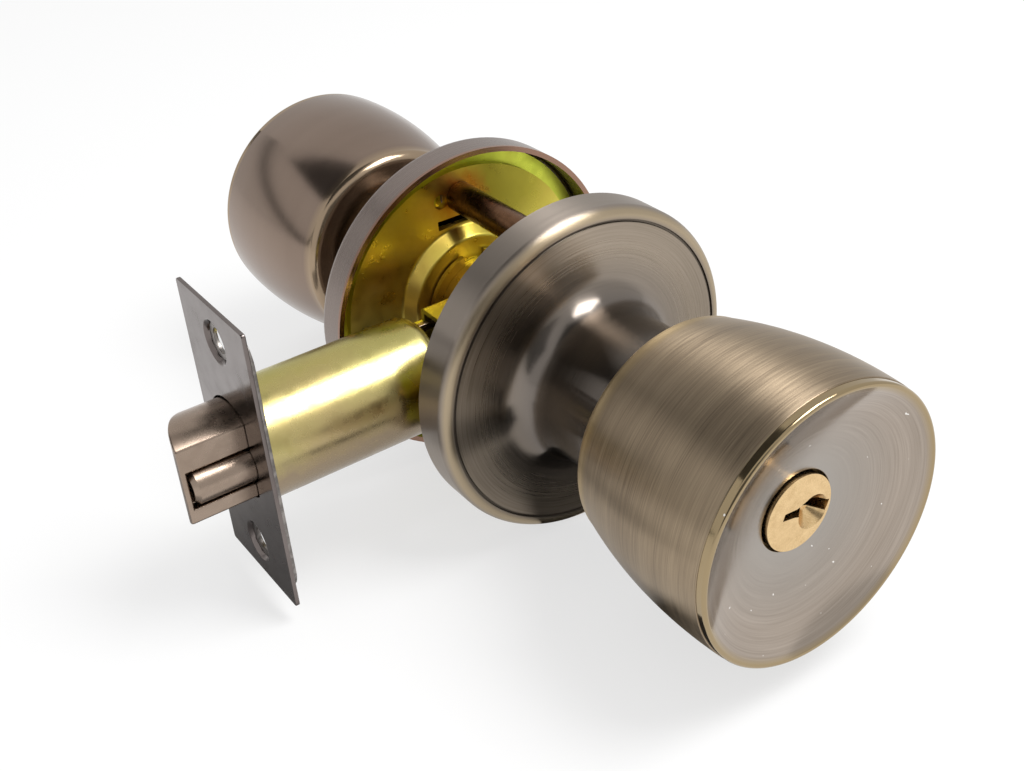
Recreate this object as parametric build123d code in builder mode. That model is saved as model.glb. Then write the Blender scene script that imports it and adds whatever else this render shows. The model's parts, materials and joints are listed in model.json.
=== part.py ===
from build123d import *
from math import acos, cos, degrees, radians, sin, sqrt
import os

# Keyed knob lockset with a tubular spring latch, in millimetres.
# The spindle runs along Y, the latch along X, and the origin is where the two axes cross.
# The keyed knob is on the -Y side, the bolt points to -X, and +Z is up.

# Door: the latch's setting from the door edge and the room between the two roses
backset = 60.0
door_gap = 28.2

# Clearances
running_gap = 0.07
sliding_gap = 0.3
turning_gap = 0.4
seating_gap = 0.05

# Roses: pressed covers that flare into a trumpet neck
rose_radius = 31.7
rose_height = 7.6
rose_wall = 1.0
rose_edge_round = 1.9
rose_flare_radius = 4.6
rose_flare_turn = 60.0
rose_neck_curve = 20.0
rose_neck_height = 21.0
rose_lip_round = 0.4
rose_access_radius = 3.4
rose_groove_radius = 29.2
rose_groove_width = 0.5
rose_groove_depth = 0.35

# Mounting plates and the liners behind them
plate_radius = 27.0
plate_recess = 4.2
plate_wall = 1.6
boss_foot_radius = 15.4
boss_radius = 13.5
boss_rise = 2.7
boss_round = 0.9
liner_wall = 0.7
liner_hole_radius = 15.6
liner_edge_gap = 0.7
tab_slot_length = 8.0
tab_slot_width = 1.9
tab_slot_shift = -1.3
tab_slot_height = 16.6
pilot_hole_radius = 1.5
pilot_hole_shift = -4.2

# Through bolting: posts riveted to the outside plate, screws through the inside plate
post_spacing = 43.0
post_radius = 3.0
tenon_radius = 2.2
screw_radius = 1.9
screw_head_radius = 3.0
screw_head_height = 2.2
screw_head_round = 1.0
screw_length = 17.0
screw_drive_width = 0.8
screw_drive_length = 3.4
screw_drive_depth = 1.2

# Knobs: drawn tulip shells with a dished face pressed into the front
shank_radius = 13.2
shank_start = 10.0
knob_back = 30.3
knob_front = 63.6
knob_radius = 24.75
knob_wall = 1.2
knob_bulge = 1.45
shoulder_radius = 21.4
shoulder_round = 1.5
shank_fillet = 1.2
rim_round = 0.5
bead_width = 1.6
bead_step = 0.15
bead_rise = 0.8
rim_groove = 0.35
dish_depth = 6.0
face_wall = 1.2
face_skirt = 3.0

# Sleeves that carry the knobs in the plates, and the rings that keep them there
sleeve_radius = 9.0
sleeve_bore = 7.6
sleeve_end = 3.5
sleeve_collar_radius = 9.9
sleeve_collar_width = 1.0
sleeve_flange_radius = 17.5
sleeve_flange_wall = 1.5
sleeve_socket_depth = 8.2
ring_width = 1.1
ring_depth = 0.5
ring_radius = 10.8
ring_opening = 5.0

# Knob return springs, coiled round the sleeve collar
return_spring_radius = 11.3
return_wire_radius = 0.6
return_spring_pitch = 1.5
return_spring_turns = 2.75

# Half-round drive spindle and the flat locking bar inside it
spindle_radius = 4.2
spindle_wall = 1.4
spindle_reach = 9.0
bar_width = 4.4
bar_thickness = 1.5
bar_grip = 3.0
bar_gap = 0.1

# Key cylinder in the outside knob
cylinder_turn = -22.0
cylinder_radius = 8.8
cylinder_back_wall = 0.8
cylinder_cavity = 4.8
tower_reach = 13.4
tower_width = 6.4
tower_end_wall = 1.3
plug_radius = 6.3
plug_head_radius = 6.8
plug_head_wall = 2.2
plug_head_gap = 0.1
plug_hole_gap = 0.6
plug_proud = 0.7
plug_rear = 36.0
clip_radius = 7.5
clip_wall = 0.8
clip_depth = 0.7
clip_opening = 4.0
keyway_left = 3.3
keyway_right = 6.2
keyway_width = 1.5
keyway_step = 0.8
keyway_notch = 0.5
key_guide_radius = 3.1
key_guide_depth = 2.0
key_guide_shift = 3.2
pin_gap = 0.1
pin_count = 5
pin_fill = 0.76
pin_tip = 0.6
key_pin_length = 2.6
driver_pin_length = 3.0
shear_gap = 0.3
cover_wall = 0.8

# Turn button in the inside knob
button_radius = 6.0
button_height = 2.6
button_stem_radius = 3.6
button_rear = 36.0
button_grip_length = 9.6
button_grip_width = 3.0
button_grip_rise = 3.2

# Faceplate and the stiffening plate behind it
faceplate_length = 56.0
faceplate_width = 25.5
faceplate_wall = 0.8
faceplate_corner = 0.6
backplate_length = 52.5
backplate_width = 24.0
backplate_wall = 0.8
backplate_corner = 5.0
faceplate_screw_spacing = 42.0
faceplate_hole_radius = 2.3
faceplate_sink_radius = 4.1

# Latch tube with a rolled end, the case that is held in it and the stop washer
tube_radius = 10.8
tube_wall = 0.8
tube_end = 22.4
tube_lip_radius = 9.6
tube_roll = 3.0
case_half_height = 8.9
case_half_width = 6.0
case_wall = 1.0
case_round = 1.0
case_start = 18.0
case_end = 16.0
tongue_start = 25.1
tongue_height = 12.6
stop_place = 26.5
stop_wall = 1.2

# Bolt, with the half-round plunger that lies in its flat side
bolt_reach = 12.3
bolt_radius = 9.2
bolt_flat = 5.5
bolt_nose = 0.8
bolt_nose_bulge = 2.6
bolt_back = 47.0
bolt_throat = 0.5
stem_radius = 2.4
plunger_radius = 3.4
plunger_axis = 3.9
plunger_drop = 1.0
plunger_wall = 1.0
plunger_length = 12.2
groove_end_wall = 1.2
plunger_tip_round = 0.8

# Hub with two wings, and the fork that the wings draw back
turn_limit = 84.0
hub_radius = 6.4
hub_waist = 5.2
hub_waist_width = 9.8
hub_overhang = 0.4
wing_reach = 9.3
wing_nose = 1.4
wing_waist = 1.5
wing_width = 4.4
drive_gap = 0.55
fork_inner = 3.0
fork_wall = 1.2
fork_bar = 1.5
fork_web_start = 24.5
fork_web_wall = 1.5
fork_root = 5.0
foot_wall = 2.0
foot_rise = 2.6

# Springs of the bolt and the plunger
bolt_spring_radius = 4.4
bolt_wire_radius = 0.45
bolt_spring_turns = 7
plunger_spring_radius = 1.35
plunger_wire_radius = 0.3
plunger_spring_turns = 5
plunger_spring_axis = 5.6
spring_end_gap = 0.1

# Places that follow from the sizes above
outside = -1
inside = 1
seat = door_gap / 2
rose_neck_radius = shank_radius + turning_gap + rose_wall
plate_back = plate_recess + plate_wall
boss_top = plate_recess - boss_rise
bore_in_plate = sleeve_radius + running_gap
knob_back_inner = knob_back + knob_wall
bead_radius = bead_width / 2
bead_outer = knob_radius - bead_step
bead_middle = bead_outer - bead_radius
bead_level = knob_front + bead_rise
dish_edge = bead_middle - bead_radius
dish_floor = bead_level - dish_depth
dish_radius = (dish_edge**2 + dish_depth**2) / (2 * dish_depth)
skirt_radius = knob_radius - knob_wall - seating_gap
sleeve_flange_front = knob_back_inner + sleeve_flange_wall
spindle_bore = spindle_radius + bar_gap
post_length = door_gap + 2 * plate_recess
post_points = [(0, post_spacing / 2), (0, -post_spacing / 2)]
plug_hole = plug_head_radius + plug_hole_gap
cylinder_back = sleeve_flange_front
button_hole = button_radius + running_gap
face_x = -backset
backplate_x = face_x + faceplate_wall
tube_x = backplate_x + backplate_wall
bolt_tip = face_x - bolt_reach
bolt_rear = -bolt_back
groove_front = bolt_tip + plunger_wall
plunger_rear = groove_front + sliding_gap + plunger_length
groove_rear = bolt_rear - groove_end_wall
tube_bore = tube_radius - tube_wall
wing_swing = turn_limit / 2
foot_x = -wing_reach * sin(radians(wing_swing)) + wing_nose + drive_gap
fork_low = hub_waist + sliding_gap
fork_high = fork_low + fork_bar
fork_outer = fork_inner + fork_wall
foot_top = fork_high + foot_rise
slot_half = wing_width / 2 + turning_gap
wing_tip = wing_reach + wing_nose
retraction = 2 * wing_reach * sin(radians(wing_swing))


def section(side):
    """Half section of one side: x is the radius, y the distance out from the rose's seat."""
    return Plane((0, side * seat, 0), x_dir=(1, 0, 0), z_dir=(0, 0, side))


def facing(side, distance):
    """Plane square to the spindle at a distance out from the rose's seat, facing away from the door."""
    return Plane((0, side * (seat + distance), 0), x_dir=(1, 0, 0), z_dir=(0, side, 0))


def across(x):
    """Plane square to the latch, facing the door edge: x is to the outside and y is up."""
    return Plane((x, 0, 0), x_dir=(0, -1, 0), z_dir=(-1, 0, 0))


def keyed(distance):
    """Plane square to the spindle in the keyed knob, turned as the key cylinder is set there."""
    turn = radians(cylinder_turn)
    return Plane((0, -seat - distance, 0), x_dir=(cos(turn), 0, sin(turn)), z_dir=(0, -1, 0))


def dish(radius):
    """Distance out of the dished knob face at a radius."""
    return dish_floor + dish_radius - sqrt(dish_radius**2 - radius**2)


def make_rose(side):
    """Pressed rose: rim, flat face with a fine groove, and the trumpet neck round the knob's shank."""
    turn = radians(rose_flare_turn)
    bend = rose_flare_radius
    join_radius = rose_neck_radius + rose_neck_curve * (1 - sin(turn))
    join_height = rose_height + bend * (1 - cos(turn))
    bend_middle = (join_radius + bend * sin(turn), rose_height + bend)
    neck_middle = (rose_neck_radius + rose_neck_curve, join_height + rose_neck_curve * cos(turn))
    edge_middle = (rose_radius - rose_edge_round, rose_height - rose_edge_round)
    lip_middle = (rose_neck_radius - rose_lip_round, rose_neck_height - rose_lip_round)
    sweep_neck = 90 - rose_flare_turn
    start_neck = 270 - rose_flare_turn
    with BuildPart() as rose:
        with BuildSketch(section(side)):
            with BuildLine():
                rim = Line((rose_radius, 0), (rose_radius, edge_middle[1]))
                edge = CenterArc(edge_middle, rose_edge_round, 0, 90)
                flare = CenterArc(bend_middle, bend, 270, -rose_flare_turn)
                neck = CenterArc(neck_middle, rose_neck_curve, start_neck, -sweep_neck)
                lip = CenterArc(lip_middle, rose_lip_round, 0, 90)
                inner_neck = CenterArc(neck_middle, rose_neck_curve + rose_wall, 180, sweep_neck)
                inner_flare = CenterArc(bend_middle, bend + rose_wall, start_neck, rose_flare_turn)
                inner_edge = CenterArc(edge_middle, rose_edge_round - rose_wall, 90, -90)
                Line(edge @ 1, flare @ 0)
                Line(neck @ 1, lip @ 0)
                Polyline(lip @ 1, (rose_neck_radius - rose_wall, rose_neck_height), inner_neck @ 0)
                Line(inner_flare @ 1, inner_edge @ 0)
                Polyline(inner_edge @ 1, (rose_radius - rose_wall, 0), rim @ 0)
            make_face()
        revolve(axis=Axis.Y)
        if side == inside:
            with BuildSketch(facing(side, 0)):
                with Locations(*post_points):
                    Circle(rose_access_radius)
            extrude(amount=rose_neck_height, mode=Mode.SUBTRACT)
        with BuildSketch(section(side)):
            with Locations((rose_groove_radius, rose_height)):
                Rectangle(rose_groove_width, 2 * rose_groove_depth)
        revolve(axis=Axis.Y, mode=Mode.SUBTRACT)
    return rose


def make_liner(side):
    """Flat ring that backs the rose's face, with openings over the posts or screws."""
    with BuildPart() as liner:
        with BuildSketch(facing(side, plate_back)):
            Circle(rose_radius - rose_wall - liner_edge_gap)
            Circle(liner_hole_radius, mode=Mode.SUBTRACT)
            with Locations(*post_points):
                Circle(screw_head_radius + sliding_gap, mode=Mode.SUBTRACT)
            for up in (1, -1):
                with Locations((tab_slot_shift, up * tab_slot_height)):
                    Rectangle(
                        tab_slot_length + 2 * sliding_gap,
                        tab_slot_width + 2 * sliding_gap,
                        mode=Mode.SUBTRACT,
                    )
        extrude(amount=liner_wall)
    return liner


def make_plate(side):
    """Mounting plate drawn into a sloping boss, the bearing of the knob's sleeve."""
    with BuildPart() as plate:
        with BuildSketch(section(side)):
            with BuildLine():
                Polyline(
                    (plate_radius, plate_recess),
                    (boss_foot_radius, plate_recess),
                    (boss_radius, boss_top),
                    (bore_in_plate, boss_top),
                    (bore_in_plate, boss_top + plate_wall),
                    (boss_radius - plate_wall / 2, boss_top + plate_wall),
                    (boss_foot_radius - plate_wall / 2, plate_back),
                    (plate_radius, plate_back),
                    close=True,
                )
            make_face()
        revolve(axis=Axis.Y)
        rings = plate.edges().filter_by(GeomType.CIRCLE)
        fillet(rings.filter_by(lambda e: abs(e.radius - boss_radius) < seating_gap), boss_round)
        rings = plate.edges().filter_by(GeomType.CIRCLE)
        fillet(rings.filter_by(lambda e: abs(e.radius - boss_foot_radius) < seating_gap), boss_round)
        with BuildSketch(facing(side, plate_recess)):
            for x, z in post_points:
                up = 1 if z > 0 else -1
                with Locations((tab_slot_shift, up * tab_slot_height)):
                    Rectangle(tab_slot_length, tab_slot_width)
                with Locations((x + pilot_hole_shift, z)):
                    Circle(pilot_hole_radius)
        extrude(amount=plate_wall, mode=Mode.SUBTRACT)
        fastener = tenon_radius if side == outside else screw_radius
        with BuildSketch(facing(side, plate_recess)):
            with Locations(*post_points):
                Circle(fastener + pin_gap)
        extrude(amount=plate_wall, mode=Mode.SUBTRACT)
    return plate


def make_shell(side):
    """Drawn tulip knob: shank, flat back, rounded shoulder and a side that swells to the front rim."""
    root_middle = (shank_radius + shank_fillet, knob_back - shank_fillet)
    shoulder_middle = (shoulder_radius - shoulder_round, knob_back + shoulder_round)
    rim_middle = (knob_radius - rim_round, knob_front - rim_round)
    inner_front = (knob_radius - knob_wall, knob_front)
    inner_back = (shoulder_radius - knob_wall, knob_back_inner)
    with BuildPart() as shell:
        with BuildSketch(section(side)):
            with BuildLine():
                root = CenterArc(root_middle, shank_fillet, 180, -90)
                shoulder = CenterArc(shoulder_middle, shoulder_round, 270, 90)
                rim = CenterArc(rim_middle, rim_round, 0, 90)
                Polyline((shank_radius - knob_wall, shank_start), (shank_radius, shank_start), root @ 0)
                Line(root @ 1, shoulder @ 0)
                SagittaArc(shoulder @ 1, rim @ 0, -knob_bulge)
                Line(rim @ 1, inner_front)
                SagittaArc(inner_front, inner_back, knob_bulge)
                Polyline(
                    inner_back,
                    (shank_radius - knob_wall, knob_back_inner),
                    (shank_radius - knob_wall, shank_start),
                )
            make_face()
        revolve(axis=Axis.Y)
    return shell


def make_face_cap(side, hole):
    """Dished knob face with a rolled bead at its edge and a skirt pressed into the shell."""
    middle = (dish_edge + hole) / 2
    skirt_end = knob_front - face_skirt
    with BuildPart() as cap:
        with BuildSketch(section(side)):
            with BuildLine():
                bead = CenterArc((bead_middle, bead_level), bead_radius, 0, 180)
                outer_dish = ThreePointArc(bead @ 1, (middle, dish(middle)), (hole, dish(hole)))
                inner_dish = ThreePointArc(
                    (hole, dish(hole) - face_wall),
                    (middle, dish(middle) - face_wall),
                    (dish_edge, dish(dish_edge) - face_wall),
                )
                Line(outer_dish @ 1, inner_dish @ 0)
                Polyline(
                    inner_dish @ 1,
                    (dish_edge, skirt_end),
                    (skirt_radius, skirt_end),
                    (skirt_radius, knob_front + rim_groove),
                    (bead_outer, knob_front + rim_groove),
                    bead @ 0,
                )
            make_face()
        revolve(axis=Axis.Y)
    return cap


def make_sleeve(side):
    """Turned sleeve: spindle socket, ring groove, thrust collar and the flange that holds the shell."""
    ring_front = boss_top - sliding_gap
    collar_start = boss_top + plate_wall + pin_gap
    collar_end = collar_start + sleeve_collar_width
    with BuildPart() as sleeve:
        with BuildSketch(section(side)):
            with BuildLine():
                Polyline(
                    (spindle_bore, -sleeve_end),
                    (sleeve_radius, -sleeve_end),
                    (sleeve_radius, ring_front - ring_width),
                    (sleeve_radius - ring_depth, ring_front - ring_width),
                    (sleeve_radius - ring_depth, ring_front),
                    (sleeve_radius, ring_front),
                    (sleeve_radius, collar_start),
                    (sleeve_collar_radius, collar_start),
                    (sleeve_collar_radius, collar_end),
                    (sleeve_radius, collar_end),
                    (sleeve_radius, knob_back_inner),
                    (sleeve_flange_radius, knob_back_inner),
                    (sleeve_flange_radius, sleeve_flange_front),
                    (sleeve_bore, sleeve_flange_front),
                    (sleeve_bore, sleeve_socket_depth - sleeve_end),
                    (spindle_bore, sleeve_socket_depth - sleeve_end),
                    close=True,
                )
            make_face()
        revolve(axis=Axis.Y)
    return sleeve


def make_ring(side):
    """Open retaining ring in the sleeve's groove."""
    with BuildPart() as ring:
        with BuildSketch(facing(side, boss_top - sliding_gap - ring_width + seating_gap)):
            Circle(ring_radius)
            Circle(sleeve_radius - ring_depth + seating_gap, mode=Mode.SUBTRACT)
            with Locations((0, -ring_radius)):
                Rectangle(ring_opening, 2 * ring_radius - sleeve_radius, mode=Mode.SUBTRACT)
        extrude(amount=ring_width - 2 * seating_gap)
    return ring


def make_return_spring(side):
    """Torsion spring that lies in the mounting plate's boss round the sleeve's collar."""
    start = side * (seat + boss_top + plate_wall + return_wire_radius + spring_end_gap)
    rise = return_spring_pitch * return_spring_turns
    with BuildPart() as spring:
        with BuildLine() as coil:
            Helix(
                return_spring_pitch, rise, return_spring_radius, center=(0, start, 0), direction=(0, side, 0)
            )
        with BuildSketch(Plane(coil.line @ 0, z_dir=coil.line % 0)):
            Circle(return_wire_radius)
        sweep(path=coil.line, is_frenet=True)
    return spring


def make_coil(start_x, end_x, y, z, radius, wire, turns):
    """Compression spring along X between two seats."""
    first = start_x + wire + spring_end_gap
    rise = end_x - wire - spring_end_gap - first
    with BuildPart() as spring:
        with BuildLine() as coil:
            Helix(rise / turns, rise, radius, center=(first, y, z), direction=(1, 0, 0))
        with BuildSketch(Plane(coil.line @ 0, z_dir=coil.line % 0)):
            Circle(wire)
        sweep(path=coil.line, is_frenet=True)
    return spring


outside_rose = make_rose(outside)
inside_rose = make_rose(inside)
outside_liner = make_liner(outside)
inside_liner = make_liner(inside)
outside_plate = make_plate(outside)
inside_plate = make_plate(inside)
outside_shell = make_shell(outside)
inside_shell = make_shell(inside)
outside_face = make_face_cap(outside, plug_hole)
inside_face = make_face_cap(inside, button_hole)
outside_sleeve = make_sleeve(outside)
inside_sleeve = make_sleeve(inside)
outside_ring = make_ring(outside)
inside_ring = make_ring(inside)
outside_return_spring = make_return_spring(outside)
inside_return_spring = make_return_spring(inside)

# Posts: round pillars with a tenon riveted in the outside plate, tapped for the screws
with BuildPart() as mounting_posts:
    with BuildSketch(facing(outside, plate_recess)):
        with Locations(*post_points):
            Circle(post_radius)
    extrude(amount=-post_length)
    with BuildSketch(facing(outside, plate_recess)):
        with Locations(*post_points):
            Circle(tenon_radius)
    extrude(amount=plate_wall)
    with BuildSketch(facing(inside, plate_recess)):
        with Locations(*post_points):
            Circle(screw_radius + pin_gap)
    extrude(amount=-screw_length, mode=Mode.SUBTRACT)

# Through screws: round heads on the inside plate, with a cross drive
with BuildPart() as through_screws:
    with BuildSketch(facing(inside, plate_back)):
        with Locations(*post_points):
            Circle(screw_head_radius)
    extrude(amount=screw_head_height)
    fillet(through_screws.faces().filter_by(Axis.Y).group_by(Axis.Y)[-1].edges(), screw_head_round)
    with BuildSketch(facing(inside, plate_back)):
        with Locations(*post_points):
            Circle(screw_radius)
    extrude(amount=-screw_length)
    with BuildSketch(facing(inside, plate_back + screw_head_height)):
        with Locations(*post_points):
            Rectangle(screw_drive_length, screw_drive_width)
            Rectangle(screw_drive_width, screw_drive_length)
    extrude(amount=-screw_drive_depth, mode=Mode.SUBTRACT)

# Drive spindle: half-round channel that turns both sleeves and the latch hub
with BuildPart() as drive_spindle:
    with BuildSketch(facing(outside, spindle_reach)):
        Circle(spindle_radius)
        Circle(spindle_radius - spindle_wall, mode=Mode.SUBTRACT)
        with Locations((0, -spindle_radius)):
            Rectangle(2 * spindle_radius, 2 * spindle_radius, mode=Mode.SUBTRACT)
    extrude(amount=-(door_gap + 2 * spindle_reach))

# Locking bar: flat strip from the key plug to the turn button
with BuildPart() as locking_bar:
    with BuildSketch(facing(outside, plug_rear + bar_grip)):
        Rectangle(bar_width, bar_thickness)
    extrude(amount=-(door_gap + plug_rear + button_rear + 2 * bar_grip))

# Key cylinder: round barrel with the pin tower on its left
plug_front = dish(plug_hole) + plug_proud
plug_head_back = plug_front - plug_head_wall
cylinder_front = plug_head_back - plug_head_gap
chambers_start = cylinder_back + cylinder_cavity
pin_pitch = (cylinder_front - chambers_start - 2 * tower_end_wall) / pin_count
pin_radius = pin_fill * pin_pitch / 2
pin_middle = (chambers_start + cylinder_front) / 2
pin_out = Vector(-cos(radians(cylinder_turn)), 0, -sin(radians(cylinder_turn)))
pin_row = Plane((0, outside * (seat + pin_middle), 0), x_dir=(0, -1, 0), z_dir=pin_out)
pin_axis = Axis((0, 0, 0), pin_out)
with BuildPart() as key_cylinder:
    with BuildSketch(keyed(cylinder_back)):
        Circle(cylinder_radius)
        with Locations((-tower_reach / 2, 0)):
            Rectangle(tower_reach, tower_width)
    extrude(amount=cylinder_front - cylinder_back)
    with BuildSketch(keyed(cylinder_back)):
        Circle(cylinder_radius - cylinder_back_wall)
    extrude(amount=cylinder_cavity, mode=Mode.SUBTRACT)
    with BuildSketch(keyed(cylinder_back)):
        Circle(plug_radius + running_gap)
    extrude(amount=cylinder_front - cylinder_back, mode=Mode.SUBTRACT)
    with BuildSketch(pin_row):
        with GridLocations(pin_pitch, 0, pin_count, 1):
            Circle(pin_radius + pin_gap)
    extrude(amount=tower_reach, mode=Mode.SUBTRACT)

# Key plug: stepped keyway with a polished guide cone, pin chambers and a slot for the bar
with BuildPart() as key_plug:
    with BuildSketch(keyed(plug_rear)):
        Circle(plug_radius)
    extrude(amount=plug_front - plug_rear)
    with BuildSketch(keyed(plug_head_back)):
        Circle(plug_head_radius)
    extrude(amount=plug_head_wall)
    with BuildSketch(keyed(plug_front)):
        with BuildLine():
            Polyline(
                (-keyway_left, -keyway_width / 2 - keyway_notch),
                (-keyway_step, -keyway_width / 2),
                (keyway_step, -keyway_width / 2),
                (2 * keyway_step, 0),
                (keyway_right, 0),
                (keyway_right, keyway_width + keyway_notch),
                (5 * keyway_step, keyway_width + keyway_notch),
                (4 * keyway_step, keyway_width),
                (2 * keyway_step, keyway_width),
                (keyway_step, keyway_width + keyway_notch),
                (-keyway_step, keyway_width / 2),
                (-keyway_left, 0),
                close=True,
            )
        make_face()
    extrude(amount=plug_rear + bar_grip - plug_front, mode=Mode.SUBTRACT)
    with Locations(keyed(plug_front - key_guide_depth / 2)):
        with Locations((key_guide_shift, 0)):
            Cone(key_guide_radius / 4, key_guide_radius, key_guide_depth, mode=Mode.SUBTRACT)
    with BuildSketch(pin_row.offset(keyway_left - pin_tip)):
        with GridLocations(pin_pitch, 0, pin_count, 1):
            Circle(pin_radius + pin_gap)
    extrude(amount=plug_radius, mode=Mode.SUBTRACT)
    with BuildSketch(facing(outside, plug_rear)):
        Rectangle(bar_width + 2 * bar_gap, bar_thickness + 2 * bar_gap)
    extrude(amount=bar_grip + bar_gap, mode=Mode.SUBTRACT)
    clip_middle = cylinder_back + cylinder_cavity - sliding_gap - clip_wall / 2
    with BuildSketch(facing(outside, clip_middle - clip_wall / 2 - seating_gap)):
        Circle(plug_radius + running_gap)
        Circle(plug_radius - clip_depth, mode=Mode.SUBTRACT)
    extrude(amount=clip_wall + 2 * seating_gap, mode=Mode.SUBTRACT)

# Clip that keeps the plug in the cylinder
with BuildPart() as plug_clip:
    with BuildSketch(facing(outside, clip_middle - clip_wall / 2)):
        Circle(clip_radius)
        Circle(plug_radius - clip_depth + seating_gap, mode=Mode.SUBTRACT)
        with Locations((0, -clip_radius)):
            Rectangle(clip_opening, clip_radius, mode=Mode.SUBTRACT)
    extrude(amount=clip_wall)

# Key pins in the plug, at the height that a key gives them, with pointed tips
key_pin_top = plug_radius - pin_gap
with BuildPart() as key_pins:
    with BuildSketch(pin_row.offset(key_pin_top - key_pin_length)):
        with GridLocations(pin_pitch, 0, pin_count, 1):
            Circle(pin_radius)
    extrude(amount=key_pin_length)
    chamfer(key_pins.faces().filter_by(pin_axis).group_by(pin_axis)[0].edges(), pin_tip)

# Driver pins in the tower, above the shear line
with BuildPart() as driver_pins:
    with BuildSketch(pin_row.offset(plug_radius + shear_gap)):
        with GridLocations(pin_pitch, 0, pin_count, 1):
            Circle(pin_radius)
    extrude(amount=driver_pin_length)

# Strip that closes the pin chambers
with BuildPart() as chamber_cover:
    with BuildSketch(pin_row.offset(tower_reach)):
        Rectangle(pin_pitch * pin_count, tower_width - 2 * sliding_gap)
    extrude(amount=cover_wall)

# Turn button: round button with a raised thumb grip and a stem for the bar
button_back = dish(button_hole) - face_wall - sliding_gap
with BuildPart() as turn_button:
    with BuildSketch(facing(inside, button_back)):
        Circle(button_radius)
    extrude(amount=button_height)
    fillet(turn_button.faces().sort_by(Axis.Y)[-1].edges(), rim_round)
    with BuildSketch(facing(inside, button_back)):
        SlotOverall(button_grip_length, button_grip_width, rotation=90)
    extrude(amount=button_height + button_grip_rise)
    fillet(turn_button.faces().sort_by(Axis.Y)[-1].edges(), rim_round)
    with BuildSketch(facing(inside, button_rear)):
        Circle(button_stem_radius)
    extrude(amount=button_back - button_rear)
    with BuildSketch(facing(inside, button_rear)):
        Rectangle(bar_width + 2 * bar_gap, bar_thickness + 2 * bar_gap)
    extrude(amount=bar_grip + bar_gap, mode=Mode.SUBTRACT)

# Faceplate: square-cornered plate with sunk screw holes and the bolt's opening
with BuildPart() as faceplate:
    with BuildSketch(across(face_x)):
        RectangleRounded(faceplate_width, faceplate_length, faceplate_corner)
    extrude(amount=-faceplate_wall)
    with BuildSketch(across(face_x)):
        Circle(bolt_radius + sliding_gap)
        with Locations((bolt_flat + sliding_gap + bolt_radius, 0)):
            Rectangle(2 * bolt_radius, 3 * bolt_radius, mode=Mode.SUBTRACT)
        with Locations((plunger_axis, -plunger_drop)):
            Circle(plunger_radius + sliding_gap)
    extrude(amount=-faceplate_wall, mode=Mode.SUBTRACT)
    with Locations(across(face_x)):
        with GridLocations(0, faceplate_screw_spacing, 1, 2):
            CounterSinkHole(faceplate_hole_radius, faceplate_sink_radius, depth=faceplate_wall)

# Backplate: smaller plate with round corners, staked round the tube
with BuildPart() as backplate:
    with BuildSketch(across(backplate_x)):
        RectangleRounded(backplate_width, backplate_length, backplate_corner)
        Circle(tube_radius + seating_gap, mode=Mode.SUBTRACT)
        with GridLocations(0, faceplate_screw_spacing, 1, 2):
            Circle(faceplate_hole_radius, mode=Mode.SUBTRACT)
    extrude(amount=-backplate_wall)

# Latch tube: drawn tube with its inner end rolled in to hold the case
roll_turn = acos(1 - (tube_radius - tube_lip_radius) / tube_roll)
roll_x = -tube_end - tube_roll * sin(roll_turn)
roll_angle = degrees(roll_turn)
roll_middle = (roll_x, tube_radius - tube_roll)
with BuildPart() as latch_tube:
    with BuildSketch(Plane.XY):
        with BuildLine():
            outer_roll = CenterArc(roll_middle, tube_roll, 90, -roll_angle)
            inner_roll = CenterArc(roll_middle, tube_roll - tube_wall, 90 - roll_angle, roll_angle)
            Line(outer_roll @ 1, inner_roll @ 0)
            Polyline(
                inner_roll @ 1, (backplate_x, tube_bore), (backplate_x, tube_radius), outer_roll @ 0
            )
        make_face()
    revolve(axis=Axis.X)

# Stop washer across the tube: the bolt's spring pushes against it
with BuildPart() as spring_stop:
    with BuildSketch(across(-stop_place)):
        Circle(tube_bore - seating_gap)
        Circle(stem_radius + turning_gap, mode=Mode.SUBTRACT)
    extrude(amount=-stop_wall)

# Latch case: folded box behind the tube with hub bearings in its sides and slots for the wings
with BuildPart() as latch_case:
    with BuildSketch(across(-case_start)):
        RectangleRounded(2 * case_half_width, 2 * case_half_height, case_round)
        Rectangle(
            2 * (case_half_width - case_wall), 2 * (case_half_height - case_wall), mode=Mode.SUBTRACT
        )
    extrude(amount=-(case_start + case_end))
    with BuildSketch(across(-tongue_start)):
        with GridLocations(2 * case_half_width - case_wall, 0, 2, 1):
            Rectangle(case_wall, tongue_height)
    extrude(amount=case_start - tongue_start)
    with BuildSketch(Plane.XZ):
        Circle(hub_radius + running_gap)
    extrude(amount=2 * case_half_width, both=True, mode=Mode.SUBTRACT)
    with BuildSketch(Plane.XY):
        Rectangle(2 * (wing_tip + turning_gap), 2 * slot_half)
    extrude(amount=2 * case_half_height, both=True, mode=Mode.SUBTRACT)

# Hub: barrel on the spindle with two round-nosed wings
with BuildPart() as latch_hub:
    with BuildSketch(Plane.XZ):
        Circle(hub_radius)
    extrude(amount=case_half_width + hub_overhang, both=True)
    with BuildSketch(Plane.XZ):
        Circle(2 * hub_radius)
        Circle(hub_waist, mode=Mode.SUBTRACT)
    extrude(amount=hub_waist_width / 2, both=True, mode=Mode.SUBTRACT)
    with BuildSketch(Plane.XZ):
        for up in (1, -1):
            with Locations(Location((0, 0, 0), (0, 0, up * (90 + wing_swing)))):
                with Locations((wing_reach / 2, up * (wing_nose - wing_waist / 2))):
                    Rectangle(wing_reach, wing_waist)
                with Locations((wing_reach, 0)):
                    Circle(wing_nose)
    extrude(amount=wing_width / 2, both=True)
    with BuildSketch(Plane.XZ):
        Circle(spindle_radius + bar_gap)
        with Locations((0, -spindle_radius - bar_gap)):
            Rectangle(4 * spindle_radius, 2 * spindle_radius, mode=Mode.SUBTRACT)
        Circle(spindle_radius - spindle_wall)
    extrude(amount=2 * case_half_width, both=True, mode=Mode.SUBTRACT)

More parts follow.
